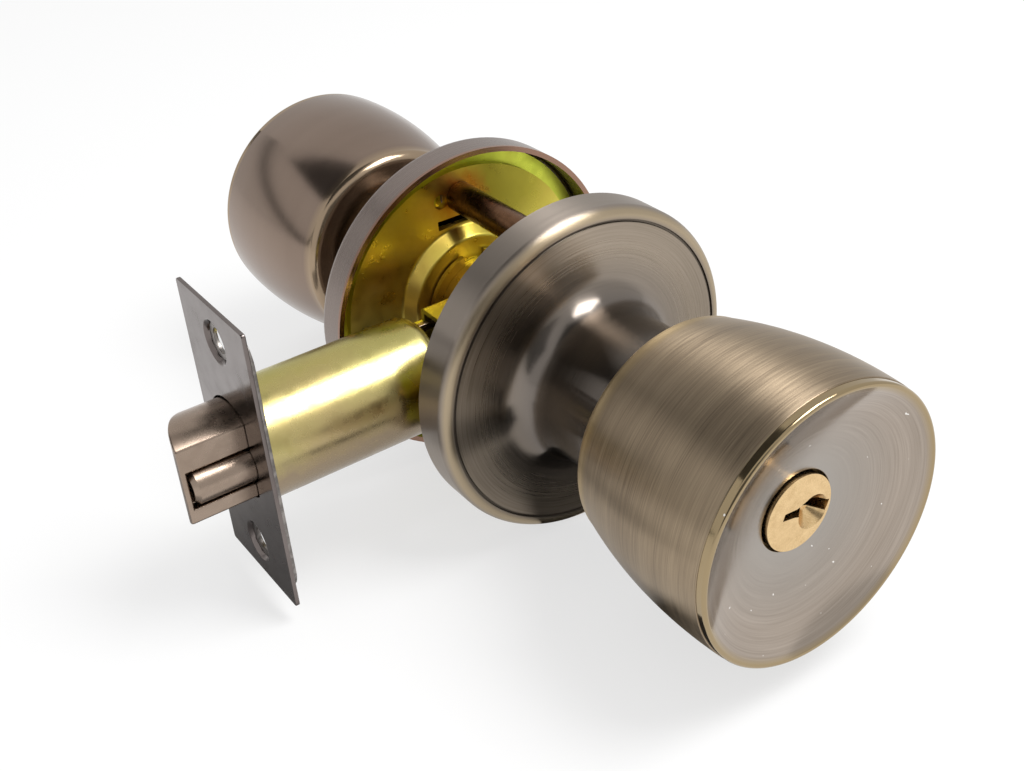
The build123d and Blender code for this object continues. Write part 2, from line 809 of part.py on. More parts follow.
# Fork: two cheeks joined by a web, each split round the hub, with feet behind the wings
with BuildPart() as retractor_fork:
    with BuildSketch(Plane.XZ):
        with Locations((-fork_web_start, 0)):
            Rectangle(
                fork_web_start + foot_x + foot_wall, 2 * fork_high, align=(Align.MIN, Align.CENTER)
            )
        with Locations((fork_root - fork_web_start, 0)):
            Rectangle(2 * fork_web_start, 2 * fork_low, align=(Align.MIN, Align.CENTER), mode=Mode.SUBTRACT)
    extrude(amount=fork_outer, both=True)
    with BuildSketch(Plane.XZ):
        with Locations((fork_web_wall - fork_web_start, 0)):
            Rectangle(
                foot_x + fork_web_start - fork_web_wall,
                3 * fork_high,
                align=(Align.MIN, Align.CENTER),
            )
    extrude(amount=fork_inner, both=True, mode=Mode.SUBTRACT)
    with BuildSketch(across(foot_x)):
        Rectangle(wing_width, 2 * foot_top)
        Rectangle(wing_width, 2 * fork_low, mode=Mode.SUBTRACT)
    extrude(amount=-foot_wall)
    with BuildSketch(across(-fork_web_start)):
        Circle(stem_radius + seating_gap)
    extrude(amount=-fork_web_wall, mode=Mode.SUBTRACT)

# Bolt: round bar with a flat side, a rounded nose and a groove for the plunger, on a long stem
with BuildPart() as latch_bolt:
    with BuildSketch(across(bolt_tip)):
        Circle(bolt_radius)
        with Locations((bolt_flat + bolt_radius, 0)):
            Rectangle(2 * bolt_radius, 3 * bolt_radius, mode=Mode.SUBTRACT)
    extrude(amount=bolt_tip - bolt_rear)
    with BuildSketch(Plane.XY):
        with BuildLine():
            nose = SagittaArc(
                (bolt_tip, bolt_nose - bolt_flat), (face_x - bolt_throat, bolt_radius), bolt_nose_bulge
            )
            Polyline(
                nose @ 1,
                (face_x - bolt_throat, 2 * bolt_radius),
                (bolt_tip - bolt_throat, 2 * bolt_radius),
                (bolt_tip - bolt_throat, bolt_nose - bolt_flat),
                nose @ 0,
            )
        make_face()
    extrude(amount=2 * bolt_radius, both=True, mode=Mode.SUBTRACT)
    with BuildSketch(across(groove_front)):
        with Locations((plunger_axis - sliding_gap + bolt_radius, -plunger_drop)):
            Rectangle(2 * bolt_radius, 2 * (plunger_radius + sliding_gap))
    extrude(amount=groove_front - groove_rear, mode=Mode.SUBTRACT)
    with BuildSketch(across(bolt_rear)):
        Circle(stem_radius)
    extrude(amount=bolt_rear + fork_web_start - fork_web_wall)

# Plunger: half-round bar in the bolt's groove, standing proud of the flat
with BuildPart() as deadlatch_plunger:
    with BuildSketch(across(plunger_rear)):
        with Locations((plunger_axis, -plunger_drop)):
            Circle(plunger_radius)
            Rectangle(
                2 * plunger_radius,
                3 * plunger_radius,
                align=(Align.MAX, Align.CENTER),
                mode=Mode.SUBTRACT,
            )
    extrude(amount=plunger_length)
    tip = deadlatch_plunger.faces().sort_by(Axis.X)[0].edges().filter_by(GeomType.CIRCLE)
    chamfer(tip, plunger_tip_round)

bolt_spring = make_coil(
    bolt_rear, -stop_place, 0, 0, bolt_spring_radius, bolt_wire_radius, bolt_spring_turns
)
plunger_spring = make_coil(
    plunger_rear,
    groove_rear,
    -plunger_spring_axis,
    -plunger_drop,
    plunger_spring_radius,
    plunger_wire_radius,
    plunger_spring_turns,
)

pieces = {
    "outside_rose": outside_rose,
    "outside_rose_liner": outside_liner,
    "outside_mounting_plate": outside_plate,
    "outside_knob_shell": outside_shell,
    "outside_knob_face": outside_face,
    "outside_sleeve": outside_sleeve,
    "outside_retaining_ring": outside_ring,
    "outside_return_spring": outside_return_spring,
    "inside_rose": inside_rose,
    "inside_rose_liner": inside_liner,
    "inside_mounting_plate": inside_plate,
    "inside_knob_shell": inside_shell,
    "inside_knob_face": inside_face,
    "inside_sleeve": inside_sleeve,
    "inside_retaining_ring": inside_ring,
    "inside_return_spring": inside_return_spring,
    "mounting_posts": mounting_posts,
    "through_screws": through_screws,
    "drive_spindle": drive_spindle,
    "locking_bar": locking_bar,
    "key_cylinder": key_cylinder,
    "key_plug": key_plug,
    "plug_clip": plug_clip,
    "key_pins": key_pins,
    "driver_pins": driver_pins,
    "chamber_cover": chamber_cover,
    "turn_button": turn_button,
    "faceplate": faceplate,
    "backplate": backplate,
    "latch_tube": latch_tube,
    "spring_stop": spring_stop,
    "latch_case": latch_case,
    "latch_hub": latch_hub,
    "retractor_fork": retractor_fork,
    "latch_bolt": latch_bolt,
    "deadlatch_plunger": deadlatch_plunger,
    "bolt_spring": bolt_spring,
    "plunger_spring": plunger_spring,
}

os.makedirs("parts", exist_ok=True)
for name, piece in pieces.items():
    piece.part.label = name
    export_step(piece.part, f"parts/{name}.step")
print("bolt travel at the turn limit:", round(retraction, 3))
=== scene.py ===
import json
import math
import bmesh
import bpy
from mathutils import Matrix, Vector

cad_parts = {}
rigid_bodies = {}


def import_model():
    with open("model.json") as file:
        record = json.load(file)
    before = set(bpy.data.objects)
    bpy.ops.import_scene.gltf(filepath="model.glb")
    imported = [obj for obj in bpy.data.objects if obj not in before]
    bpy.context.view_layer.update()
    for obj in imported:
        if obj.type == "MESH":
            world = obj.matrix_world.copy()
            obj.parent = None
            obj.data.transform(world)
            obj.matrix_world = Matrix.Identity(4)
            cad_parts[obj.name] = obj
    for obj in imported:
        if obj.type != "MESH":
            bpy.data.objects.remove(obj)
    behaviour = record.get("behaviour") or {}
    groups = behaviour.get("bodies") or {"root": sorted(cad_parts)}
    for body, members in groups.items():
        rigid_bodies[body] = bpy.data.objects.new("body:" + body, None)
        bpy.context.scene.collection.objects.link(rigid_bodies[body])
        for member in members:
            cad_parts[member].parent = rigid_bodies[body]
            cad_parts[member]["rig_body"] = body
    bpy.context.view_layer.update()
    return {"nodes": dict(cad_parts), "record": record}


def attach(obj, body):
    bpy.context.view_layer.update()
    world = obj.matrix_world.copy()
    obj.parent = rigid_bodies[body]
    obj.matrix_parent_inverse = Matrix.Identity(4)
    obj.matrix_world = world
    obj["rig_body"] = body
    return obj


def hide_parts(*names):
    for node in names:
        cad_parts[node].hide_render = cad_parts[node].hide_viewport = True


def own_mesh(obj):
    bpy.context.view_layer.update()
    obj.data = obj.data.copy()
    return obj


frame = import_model()
nodes = frame["nodes"]
slotOf = {s["node"]: s["material_slot"] for s in frame["record"]["subparts"]}
scene = bpy.context.scene
mm = 0.001
seat = 14.1  # from the middle of the door to each rose's seat
outer = -1  # keyed side
inner = 1  # button side
spindleAxis = (0, 1, 0)
latchAxis = (1, 0, 0)
weld = {"spun": 0.001, "cad": 0.002}  # vertices closer than this are merged
flatAngle = 0.4  # triangles that turn by less are one flat face
creaseAngle = 34  # edges that turn by less are shaded smooth
print("frame loaded:", len(nodes), "nodes")


# ways of shaping a piece

def arc(centre, radius, start, sweep, count):
    spots = []
    for i in range(count + 1):
        turn = math.radians(start + sweep * i / count)
        spots.append((centre[0] + radius * math.cos(turn), centre[1] + radius * math.sin(turn)))
    return spots


def circle(centre, radius, count):
    return arc(centre, radius, 0, 360, count)[:-1]


def bow(first, last, rise, count):
    # shallow arc between two points, rise to the right of the way
    run = Vector((last[0] - first[0], last[1] - first[1]))
    side = Vector((run.y, -run.x)).normalized()
    half = run.length / 2
    radius = (half * half + rise * rise) / (2 * rise)
    middle = Vector(first) + run / 2 + side * (rise - radius)
    reach = math.asin(half / radius)
    along = run.normalized()
    spots = []
    for i in range(count + 1):
        turn = -reach + 2 * reach * i / count
        spot = middle + side * (radius * math.cos(turn)) + along * (radius * math.sin(turn))
        spots.append((spot.x, spot.y))
    return spots


def spun(spots, place, axis, steps=180):
    bm = bmesh.new()
    ring = [bm.verts.new(place(a, b)) for a, b in spots]
    edges = [bm.edges.new(pair) for pair in zip(ring, ring[1:] + ring[:1])]
    bmesh.ops.spin(bm, geom=ring + edges, cent=(0, 0, 0), axis=axis, angle=math.tau, steps=steps,
                   use_merge=True, use_duplicate=False)
    return bm


def onSpindle(side):
    # radius and distance out from the seat, turned about the spindle
    return lambda r, d: (r * mm, side * (seat + d) * mm, 0)


def onLatch(r, x):
    # radius and place along the latch
    return (x * mm, 0, r * mm)


def copyOf(name):
    # merged copy of a CAD node, with the triangles of its flat faces joined
    bm = bmesh.new()
    bm.from_mesh(nodes[name].data)
    bmesh.ops.remove_doubles(bm, verts=bm.verts, dist=weld["cad"] * mm)
    bmesh.ops.dissolve_limit(bm, angle_limit=math.radians(flatAngle), verts=bm.verts, edges=bm.edges)
    return bm


def breakEdges(bm, width, least=50, keep=None, segments=2):
    # small even bevel on every edge that turns by more than least
    sharp = [e for e in bm.edges if len(e.link_faces) == 2
             and e.calc_face_angle(0) > math.radians(least) and (keep is None or keep(e))]
    bmesh.ops.bevel(bm, geom=sharp, offset=width * mm, offset_type="OFFSET", affect="EDGES",
                    segments=segments, profile=0.5, material=-1, clamp_overlap=True)


def finishPiece(bm, name, node, material, merge=True):
    if merge:
        bmesh.ops.remove_doubles(bm, verts=bm.verts, dist=weld["spun"] * mm)
        bmesh.ops.recalc_face_normals(bm, faces=bm.faces)
    for f in bm.faces:
        f.smooth = True
    for e in bm.edges:
        if len(e.link_faces) == 2:
            e.smooth = e.calc_face_angle(0) < math.radians(creaseAngle)
    mesh = bpy.data.meshes.new(name)
    bm.to_mesh(mesh)
    bm.free()
    mesh.materials.append(material)
    piece = bpy.data.objects.new(name, mesh)
    scene.collection.objects.link(piece)
    piece.modifiers.new("planeFaces", "WEIGHTED_NORMAL").keep_sharp = True
    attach(piece, nodes[node]["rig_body"])
    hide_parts(node)
    return piece


# ways of making a finish

def newFinish(name, rough=0.35, metal=1.0):
    material = bpy.data.materials.new(name)
    material.use_nodes = True
    tree = material.node_tree
    shader = tree.nodes["Principled BSDF"]
    shader.inputs["Metallic"].default_value = metal
    shader.inputs["Roughness"].default_value = rough
    return material, tree, shader


def add(tree, kind, inputs=None, **settings):
    made = tree.nodes.new(kind)
    for key, value in settings.items():
        setattr(made, key, value)
    for key, value in (inputs or {}).items():
        if hasattr(value, "links"):
            tree.links.new(value, made.inputs[key])
        else:
            made.inputs[key].default_value = value
    return made


def sums(tree, kind, a, b=0.0):
    # sum on numbers or sockets
    return add(tree, "ShaderNodeMath", {0: a, 1: b}, operation=kind).outputs[0]


def remap(tree, value, low, high, toLow=0.0, toHigh=1.0):
    return add(tree, "ShaderNodeMapRange", {"Value": value, "From Min": low, "From Max": high,
                                            "To Min": toLow, "To Max": toHigh}).outputs[0]


def blendColour(tree, amount, first, second):
    mix = add(tree, "ShaderNodeMix", data_type="RGBA")
    for socket, value in ((0, amount), (6, first), (7, second)):
        if hasattr(value, "links"):
            tree.links.new(value, mix.inputs[socket])
        else:
            mix.inputs[socket].default_value = value if socket == 0 else (*value, 1)
    return mix.outputs[2]


def roundPlaces(tree):
    # radius about the spindle, place along it, and the direction round it
    where = add(tree, "ShaderNodeTexCoord").outputs["Object"]
    split = add(tree, "ShaderNodeSeparateXYZ", {0: where}).outputs
    flat = add(tree, "ShaderNodeCombineXYZ", {"X": split[0], "Z": split[2]}).outputs[0]
    radius = add(tree, "ShaderNodeVectorMath", {0: flat}, operation="LENGTH").outputs["Value"]
    around = add(tree, "ShaderNodeVectorMath", {0: flat}, operation="NORMALIZE").outputs[0]
    return radius, split[1], around, where


def hairlines(tree, radius, along, around, fine, sweep, detail=3):
    # streaks that run round the spindle
    spread = add(tree, "ShaderNodeVectorMath", {0: around, "Scale": sweep}, operation="SCALE").outputs[0]
    lift = add(tree, "ShaderNodeCombineXYZ", {"Y": sums(tree, "MULTIPLY", along, fine)}).outputs[0]
    spot = add(tree, "ShaderNodeVectorMath", {0: spread, 1: lift}, operation="ADD").outputs[0]
    return add(tree, "ShaderNodeTexNoise", {"Vector": spot, "W": sums(tree, "MULTIPLY", radius, fine),
                                            "Scale": 1.0, "Detail": detail, "Roughness": 0.6},
               noise_dimensions="4D").outputs[0]


def blotches(tree, where, scale, detail, seed=0.0):
    return add(tree, "ShaderNodeTexNoise", {"Vector": where, "W": seed, "Scale": scale, "Detail": detail,
                                            "Roughness": 0.55}, noise_dimensions="4D").outputs[0]


brushing = {"bandSweep": 0.5, "bandShare": 0.2, "toneLow": 0.36, "toneHigh": 0.64, "ringCore": 0.5,
            "speckSeed": 5.0, "speckEdge": 0.02, "noiseLow": 0.3, "noiseHigh": 0.7, "smoother": 0.04,
            "rougher": 0.05, "glintTurn": 0.25, "bumpDepth": 0.02}


def brushedFinish(name, look):
    # edges: place, start, end, tint; rings: radius, half width, tint; all in mm
    # polish and turned: start, end, and the share of the roughness or of the bump
    k = brushing
    material, tree, shader = newFinish(name)
    radius, along, around, where = roundPlaces(tree)
    fineLines = hairlines(tree, radius, along, around, look["fine"], look["sweep"])
    bands = hairlines(tree, radius, along, around, look["bands"], k["bandSweep"], 1)
    cloud = blotches(tree, where, look["cloud"], 1)
    cloudShare = 1 - k["bandShare"] - look["lineTone"]
    shares = {fineLines: look["lineTone"], bands: k["bandShare"], cloud: cloudShare}
    tone = 0.0
    for part, share in shares.items():
        tone = sums(tree, "ADD", sums(tree, "MULTIPLY", part, share), tone)
    shade = remap(tree, tone, k["toneLow"], k["toneHigh"])
    colour = blendColour(tree, shade, look["dark"], look["light"])
    places = {"radius": radius, "along": sums(tree, "ABSOLUTE", along)}
    for kind, start, end, tint in look.get("edges", []):
        colour = blendColour(tree, remap(tree, places[kind], start * mm, end * mm), colour, tint)
    for middle, half, tint in look.get("rings", []):
        away = sums(tree, "ABSOLUTE", sums(tree, "SUBTRACT", radius, middle * mm))
        line = remap(tree, away, half * mm, half * k["ringCore"] * mm)
        colour = blendColour(tree, line, colour, tint)
    if "specks" in look:
        scale, least = look["specks"]
        grit = blotches(tree, where, scale, 0, k["speckSeed"])
        dots = remap(tree, grit, least, least + k["speckEdge"])
        colour = blendColour(tree, dots, colour, paleSpeck)
    tree.links.new(colour, shader.inputs["Base Color"])
    rough = remap(tree, fineLines, k["noiseLow"], k["noiseHigh"], look["rough"] - k["smoother"],
                  look["rough"] + k["rougher"])
    if "polish" in look:
        start, end, share = look["polish"]
        rough = sums(tree, "MULTIPLY", rough, remap(tree, radius, start * mm, end * mm, 1.0, share))
    tree.links.new(rough, shader.inputs["Roughness"])
    height = fineLines
    if "turned" in look:
        start, end, share = look["turned"]
        height = sums(tree, "MULTIPLY", height, remap(tree, radius, start * mm, end * mm, 1.0, share))
    shader.inputs["Anisotropic"].default_value = look["grain"]
    shader.inputs["Anisotropic Rotation"].default_value = k["glintTurn"]  # glints spread across the lines
    tree.links.new(add(tree, "ShaderNodeTangent", direction_type="RADIAL", axis="Y").outputs[0],
                   shader.inputs["Tangent"])
    bump = add(tree, "ShaderNodeBump", {"Height": height, "Strength": look["bump"],
                                        "Distance": k["bumpDepth"] * mm})
    tree.links.new(bump.outputs[0], shader.inputs["Normal"])
    return material


plating = {"dirtFiner": 7, "dirtSeed": 3.0, "dirtLow": 0.5, "dirtHigh": 0.75, "noiseLow": 0.3,
           "noiseHigh": 0.7, "ragged": 1.5, "smoother": 0.06, "rougher": 0.12, "grainSeed": 7.0,
           "bumpDepth": 0.04}


def platedFinish(name, look):
    # plating that shifts from one colour to the next in soft patches
    # tint patches: centre, plane, radius of the full patch, radius where it ends, tint
    k = plating
    material, tree, shader = newFinish(name)
    where = add(tree, "ShaderNodeTexCoord").outputs["Object"]
    patch = blotches(tree, where, look["patch"], 2)
    ramp = add(tree, "ShaderNodeValToRGB", {"Fac": patch})
    ramp.color_ramp.elements.remove(ramp.color_ramp.elements[1])
    for i, (place, colour) in enumerate(look["colours"]):
        stop = ramp.color_ramp.elements[0] if i == 0 else ramp.color_ramp.elements.new(place)
        stop.position = place
        stop.color = (*colour, 1)
    dirt = blotches(tree, where, look["patch"] * k["dirtFiner"], 5, k["dirtSeed"])
    soiled = remap(tree, dirt, k["dirtLow"], k["dirtHigh"], 0.0, look["dirt"])
    colour = blendColour(tree, soiled, ramp.outputs[0], look["stain"])
    for centre, across, full, end, tint in look.get("tintPatches", []):
        offset = add(tree, "ShaderNodeVectorMath", {0: where, 1: [v * mm for v in centre]},
                     operation="SUBTRACT")
        flat = add(tree, "ShaderNodeVectorMath", {0: offset.outputs[0], 1: across}, operation="MULTIPLY")
        away = add(tree, "ShaderNodeVectorMath", {0: flat.outputs[0]}, operation="LENGTH").outputs["Value"]
        ragged = remap(tree, dirt, k["noiseLow"], k["noiseHigh"], -k["ragged"] * mm, k["ragged"] * mm)
        away = sums(tree, "ADD", away, ragged)
        colour = blendColour(tree, remap(tree, away, end * mm, full * mm), colour, tint)
    tree.links.new(colour, shader.inputs["Base Color"])
    rough = remap(tree, dirt, k["noiseLow"], k["dirtHigh"], look["rough"] - k["smoother"],
                  look["rough"] + k["rougher"])
    tree.links.new(rough, shader.inputs["Roughness"])
    grain = blotches(tree, where, look["grain"], 3, k["grainSeed"])
    bump = add(tree, "ShaderNodeBump", {"Height": grain, "Strength": look["bump"],
                                        "Distance": k["bumpDepth"] * mm})
    tree.links.new(bump.outputs[0], shader.inputs["Normal"])
    return material


# gold of the knob's shoulder band: a rubbed edge, partly a painted highlight
polishedEdgeAndSheen = (0.42, 0.315, 0.18)
rolledEdge = (0.36, 0.275, 0.16)
bronzeEdge = (0.36, 0.27, 0.185)
# painted shade for the rose's groove
paintedGrooveShade = (0.15, 0.125, 0.10)
gapShade = (0.03, 0.022, 0.012)
paleSpeck = (0.85, 0.82, 0.78)
agedBrass = brushedFinish("agedBrass", {
    "light": (0.40, 0.312, 0.213), "dark": (0.215, 0.163, 0.112), "fine": 5200, "sweep": 2.6,
    "lineTone": 0.56, "bands": 260, "cloud": 25, "rough": 0.33, "grain": 0.95, "bump": 0.4,
    # painted shade: the knob's shank darkens from 17.5 mm in to 16 mm
    # the shoulder band from 48.4 to 46.6 mm is rubbed gold and partly a painted highlight
    "edges": [("along", 48.4, 46.6, polishedEdgeAndSheen), ("radius", 17.5, 16.0, (0.17, 0.13, 0.085))]})
spunBrass = brushedFinish("spunBrass", {
    "light": (0.41, 0.34, 0.27), "dark": (0.25, 0.205, 0.155), "fine": 4200, "sweep": 1.6,
    "lineTone": 0.55, "bands": 300, "cloud": 25, "rough": 0.32, "grain": 0.95, "bump": 0.3,
    "polish": (28, 15, 0.55),
    # painted highlight: gold on the rose's rounded rim, 29.5 to 30.2 mm out
    # painted shade: the rose's neck darkens from 24 mm in to 15.5 mm
    "edges": [("radius", 24.0, 15.5, (0.19, 0.165, 0.145)), ("radius", 29.5, 30.2, (0.43, 0.345, 0.235)),
              ("radius", 31.0, 31.6, (0.31, 0.265, 0.225))],
    # painted shade: the ring at 13.9 mm darkens the neck's end face
    # painted shade: the ring at 29.2 mm darkens the groove
    "rings": [(29.2, 0.4, paintedGrooveShade), (13.9, 0.9, (0.07, 0.06, 0.05))]})
turnedBrass = brushedFinish("turnedBrass", {
    "light": (0.41, 0.35, 0.295), "dark": (0.30, 0.25, 0.205), "fine": 3800, "sweep": 1.2,
    "lineTone": 0.6, "bands": 300, "cloud": 30, "rough": 0.20, "grain": 0.85, "bump": 0.16,
    "turned": (16, 9, 5), "polish": (13, 20, 0.45), "specks": (1300, 0.825),
    "edges": [("radius", 19.0, 5.0, (0.37, 0.345, 0.315)), ("radius", 22.8, 23.8, rolledEdge),
              ("radius", 7.35, 7.2, gapShade)]})
satinBronze = brushedFinish("satinBronze", {
    "light": (0.285, 0.215, 0.172), "dark": (0.23, 0.17, 0.133), "fine": 9000, "sweep": 8.0,
    "lineTone": 0.2, "bands": 200, "cloud": 25, "rough": 0.18, "grain": 0.5, "bump": 0.05,
    # the far knob's shoulder band from 48 to 46.2 mm is rubbed gold and partly a painted highlight
    "edges": [("along", 48.0, 46.2, bronzeEdge)]})
turnedBronze = brushedFinish("turnedBronze", {
    "light": (0.32, 0.243, 0.196), "dark": (0.225, 0.166, 0.13), "fine": 3800, "sweep": 1.2,
    "lineTone": 0.6, "bands": 300, "cloud": 30, "rough": 0.20, "grain": 0.85, "bump": 0.16,
    "turned": (16, 9, 4), "polish": (13, 20, 0.4), "edges": [("radius", 22.8, 23.8, bronzeEdge)]})
satinRose = brushedFinish("satinRose", {
    "light": (0.28, 0.23, 0.205), "dark": (0.21, 0.17, 0.15), "fine": 7000, "sweep": 4.0,
    "lineTone": 0.3, "bands": 240, "cloud": 25, "rough": 0.26, "grain": 0.7, "bump": 0.1,
    "edges": [("along", 15.0, 14.5, (0.31, 0.185, 0.135))]})
brightBrass = brushedFinish("brightBrass", {
    "light": (0.86, 0.62, 0.33), "dark": (0.62, 0.42, 0.20), "fine": 2600, "sweep": 60.0,
    "lineTone": 0.55, "bands": 900, "cloud": 700, "rough": 0.24, "grain": 0.2, "bump": 0.45})
shadedBrass = brushedFinish("shadedBrass", {
    "light": (0.20, 0.135, 0.055), "dark": (0.13, 0.085, 0.035), "fine": 5000, "sweep": 5.0,
    "lineTone": 0.3, "bands": 300, "cloud": 200, "rough": 0.35, "grain": 0.2, "bump": 0.1})
postFoot = (0.52, 0.25, 0.05)
acrossSpindle = (1, 0, 1)  # plane in which a tint patch is round
acrossLatch = (0, 1, 1)
yellowZinc = platedFinish("yellowZinc", {
    "colours": [(0.32, (0.58, 0.60, 0.08)), (0.46, (0.74, 0.65, 0.12)), (0.58, (0.74, 0.58, 0.11)),
                (0.70, (0.64, 0.42, 0.10))],
    "patch": 45, "stain": (0.34, 0.17, 0.03), "dirt": 0.2, "rough": 0.30, "grain": 1800, "bump": 0.1,
    # darker olive near the top, darker brown towards the lower left, orange-brown round each post's foot
    "tintPatches": [((12, 0, 22), acrossSpindle, 6, 18, (0.36, 0.31, 0.04)),
               ((-24, 0, -12), acrossSpindle, 7, 19, (0.22, 0.15, 0.06)),
               ((0, 0, 21.5), acrossSpindle, 3, 7.5, postFoot),
               ((0, 0, -21.5), acrossSpindle, 3, 7.5, postFoot)]})
limeZinc = platedFinish("limeZinc", {
    "colours": [(0.35, (0.50, 0.56, 0.06)), (0.65, (0.60, 0.62, 0.08))], "patch": 60,
    "stain": (0.40, 0.30, 0.05), "dirt": 0.2, "rough": 0.30, "grain": 1800, "bump": 0.1})
paleZinc = platedFinish("paleZinc", {
    "colours": [(0.32, (0.44, 0.42, 0.13)), (0.46, (0.55, 0.48, 0.19)), (0.58, (0.57, 0.46, 0.20)),
                (0.70, (0.49, 0.37, 0.18))],
    "patch": 40, "stain": (0.28, 0.20, 0.06), "dirt": 0.3, "rough": 0.25, "grain": 3200, "bump": 0.12,
    # browner on the lower front of the tube, more olive on its top
    "tintPatches": [((0, -8, -10), acrossLatch, 7, 14, (0.31, 0.24, 0.16)),
               ((0, 7, 9), acrossLatch, 3, 12, (0.42, 0.37, 0.09))]})
satinNickel = platedFinish("satinNickel", {
    "colours": [(0.35, (0.165, 0.14, 0.131)), (0.65, (0.21, 0.18, 0.17))], "patch": 40,
    "stain": (0.12, 0.10, 0.094), "dirt": 0.15, "rough": 0.20, "grain": 2600, "bump": 0.06})
nickelBronze = platedFinish("nickelBronze", {
    "colours": [(0.35, (0.32, 0.245, 0.19)), (0.65, (0.38, 0.295, 0.235))], "patch": 60,
    "stain": (0.24, 0.17, 0.13), "dirt": 0.2, "rough": 0.26, "grain": 2200, "bump": 0.08})
copperPlate = platedFinish("copperPlate", {
    "colours": [(0.35, (0.115, 0.055, 0.027)), (0.65, (0.18, 0.09, 0.045))], "patch": 90,
    "stain": (0.06, 0.026, 0.011), "dirt": 0.35, "rough": 0.24, "grain": 2000, "bump": 0.1})
roughSteel = platedFinish("roughSteel", {
    "colours": [(0.40, (0.19, 0.175, 0.165)), (0.60, (0.34, 0.315, 0.295))], "patch": 700,
    "stain": (0.13, 0.115, 0.105), "dirt": 0.5, "rough": 0.36, "grain": 900, "bump": 0.6})
bareSteel = platedFinish("bareSteel", {
    "colours": [(0.35, (0.42, 0.41, 0.40)), (0.65, (0.52, 0.51, 0.49))], "patch": 80,
    "stain": (0.22, 0.20, 0.18), "dirt": 0.4, "rough": 0.30, "grain": 2000, "bump": 0.15})
springSteel = platedFinish("springSteel", {
    "colours": [(0.35, (0.24, 0.24, 0.25)), (0.65, (0.34, 0.34, 0.35))], "patch": 120,
    "stain": (0.10, 0.09, 0.08), "dirt": 0.4, "rough": 0.28, "grain": 2500, "bump": 0.1})
finishOfSlot = {
    "aged_brass": agedBrass, "turned_brass": turnedBrass, "satin_bronze": satinBronze,
    "bright_brass": brightBrass, "yellow_zinc": yellowZinc, "satin_nickel": satinNickel,
    "nickel_bronze": nickelBronze, "copper_plate": copperPlate, "steel": bareSteel,
    "spring_steel": springSteel}
ownFinish = {"key_cylinder": shadedBrass, "outside_rose_liner": limeZinc, "inside_rose_liner": limeZinc}
for nodeName, nodeObject in nodes.items():
    nodeObject.data.materials.clear()
    nodeObject.data.materials.append(ownFinish.get(nodeName, finishOfSlot[slotOf[nodeName]]))
print("finishes made for", len(finishOfSlot), "slots")


# knobs

knob = {"shank": 13.2, "shankStart": 10.0, "back": 30.3, "front": 63.6, "rim": 24.75, "wall": 1.2,
        "bulge": 1.45, "shoulder": 21.4, "shoulderRound": 2.1, "rootRound": 1.2, "rimRound": 0.15}


def knobShell(name, node, side, finish):
    k = knob
    spots = [(k["shank"] - k["wall"], k["shankStart"]), (k["shank"], k["shankStart"])]
    spots += arc((k["shank"] + k["rootRound"], k["back"] - k["rootRound"]), k["rootRound"], 180, -90, 6)
    spots += arc((k["shoulder"] - k["shoulderRound"], k["back"] + k["shoulderRound"]), k["shoulderRound"],
                 270, 90, 10)
    sideFoot = (k["shoulder"], k["back"] + k["shoulderRound"])
    sideTop = (k["rim"], k["front"] - k["rimRound"])
    spots += bow(sideFoot, sideTop, k["bulge"], 40)[1:-1]
    spots += arc((k["rim"] - k["rimRound"], k["front"] - k["rimRound"]), k["rimRound"], 0, 90, 6)
    inFront = (k["rim"] - k["wall"], k["front"])
    inBack = (k["shoulder"] - k["wall"], k["back"] + k["wall"])
    spots += reversed(bow(inBack, inFront, k["bulge"], 24))
    spots.append((k["shank"] - k["wall"], k["back"] + k["wall"]))
    finishPiece(spun(spots, onSpindle(side), spindleAxis), name, node, finish)


knobShell("outsideKnobShell", "outside_knob_shell", outer, agedBrass)
knobShell("insideKnobShell", "inside_knob_shell", inner, satinBronze)

knobFace = {"bead": 0.55, "beadMiddle": 24.05, "beadTurn": 120, "beadLevel": 64.65,
            "dishDepth": 6.25, "wall": 1.2, "skirt": 23.4, "skirtEnd": 60.6, "groove": 63.62,
            "plugHole": 7.15, "buttonHole": 6.07, "holeRound": 0.3}


def faceCap(name, node, side, hole, finish):
    k = knobFace
    turn = math.radians(k["beadTurn"])
    edge = k["beadMiddle"] + k["bead"] * math.cos(turn)
    floor = k["beadLevel"] - k["dishDepth"]
    depth = k["dishDepth"] + k["bead"] * math.sin(turn)
    ball = (edge**2 + depth**2) / (2 * depth)

    def dish(r):
        return floor + ball - math.sqrt(ball**2 - r**2)
    lip = hole + k["holeRound"]
    spots = [(k["beadMiddle"] + k["bead"], k["groove"])]  # foot of the bead on the shell's rim
    spots += arc((k["beadMiddle"], k["beadLevel"]), k["bead"], 0, k["beadTurn"], 14)
    spots += [(r, dish(r)) for r in (edge + (lip - edge) * i / 24 for i in range(1, 25))]
    spots += arc((lip, dish(lip) - k["holeRound"]), k["holeRound"], 90, 90, 5)[1:]
    spots += [(hole, dish(hole) - k["wall"])]
    within = k["skirt"] - k["wall"]
    spots += [(r, dish(r) - k["wall"]) for r in (hole + (within - hole) * i / 16 for i in range(1, 17))]
    spots += [(within, k["skirtEnd"]), (k["skirt"], k["skirtEnd"]), (k["skirt"], k["groove"])]
    finishPiece(spun(spots, onSpindle(side), spindleAxis), name, node, finish)


faceCap("outsideKnobFace", "outside_knob_face", outer, knobFace["plugHole"], turnedBrass)
faceCap("insideKnobFace", "inside_knob_face", inner, knobFace["buttonHole"], turnedBronze)
print("knobs made")


# outside rose

rose = {"radius": 31.7, "height": 7.6, "wall": 1.0, "edge": 1.9, "flare": 5.0, "flareTurn": 80,
        "neckCurve": 14.0, "neck": 14.6, "neckHeight": 26.0, "lip": 0.15, "bore": 13.35, "groove": 29.2,
        "grooveWidth": 0.5, "grooveTaper": 0.6, "grooveDepth": 0.35}


